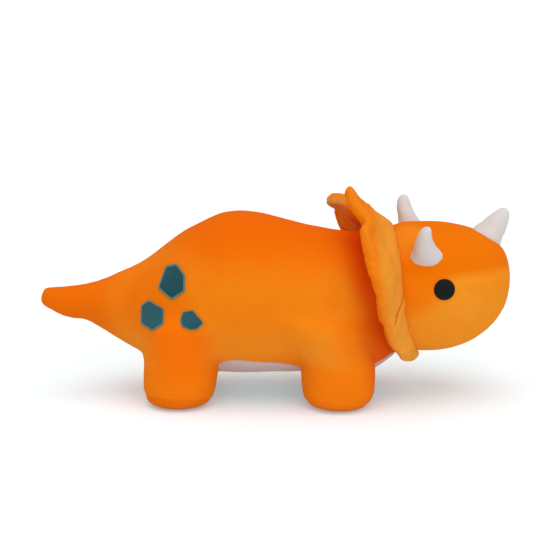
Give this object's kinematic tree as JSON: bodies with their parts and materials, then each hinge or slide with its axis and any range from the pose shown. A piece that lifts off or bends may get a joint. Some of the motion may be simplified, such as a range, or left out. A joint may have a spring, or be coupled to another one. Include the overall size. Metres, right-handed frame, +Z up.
{
  "type": "stuffed dinosaur",
  "caption": "Stuffed horned dinosaur on four stubby legs, with a padded frill, fabric spots, and a head and tail that bend.",
  "frame": {"origin": "on the floor under the middle of the toy's length and width", "axes": "+X towards the nose, +Y to the toy's own left, +Z up"},
  "size_m": [0.3978, 0.1563, 0.1894],
  "materials": {
    "orange_plush": "short-pile velour",
    "cream_plush": "short-pile velour",
    "white_plush": "short-pile velour",
    "teal_applique": "velour with a satin-stitched edge",
    "black_embroidery": "satin stitch",
    "fibre_filling": "loose polyester fibre"
  },
  "bodies": {
    "body": {"body_side_right": "orange_plush", "body_side_left": "orange_plush", "belly_panel": "cream_plush", "body_filling": "fibre_filling", "leg_front_right": "orange_plush", "leg_front_left": "orange_plush", "leg_rear_right": "orange_plush", "leg_rear_left": "orange_plush", "leg_filling_front_right": "fibre_filling", "leg_filling_front_left": "fibre_filling", "leg_filling_rear_right": "fibre_filling", "leg_filling_rear_left": "fibre_filling", "sole_front_right": "orange_plush", "sole_front_left": "orange_plush", "sole_rear_right": "orange_plush", "sole_rear_left": "orange_plush", "spot_upper_right": "teal_applique", "spot_rear_right": "teal_applique", "spot_lower_right": "teal_applique", "spot_upper_left": "teal_applique", "spot_rear_left": "teal_applique", "spot_lower_left": "teal_applique"},
    "tail": {"tail_side_right": "orange_plush", "tail_side_left": "orange_plush", "tail_filling": "fibre_filling"},
    "neck": {"neck_filling": "fibre_filling"},
    "head": {"head_side_right": "orange_plush", "head_side_left": "orange_plush", "head_filling": "fibre_filling", "frill_front": "orange_plush", "frill_back": "orange_plush", "frill_padding": "fibre_filling", "nose_horn": "white_plush", "nose_horn_filling": "fibre_filling", "brow_horn_right": "white_plush", "brow_horn_right_filling": "fibre_filling", "brow_horn_left": "white_plush", "brow_horn_left_filling": "fibre_filling", "eye_right": "black_embroidery", "eye_left": "black_embroidery"}
  },
  "joints": [
    {"name": "neck_turn", "type": "hinge", "parent": "body", "child": "neck", "pos_m": [0.094, 0, 0.09], "axis": [0, 0, 1], "range_deg": [-14, 5], "stiffness_Nm_per_rad": 1.5},
    {"name": "head_nod", "type": "hinge", "parent": "neck", "child": "head", "pos_m": [0.094, 0, 0.09], "axis": [0, 1, 0], "range_deg": [-10, 5], "stiffness_Nm_per_rad": 1.5},
    {"name": "tail_swing", "type": "hinge", "parent": "body", "child": "tail", "pos_m": [-0.122, 0, 0.079], "axis": [0, 0, 1], "range_deg": [-18, 18], "stiffness_Nm_per_rad": 0.4}
  ]
}
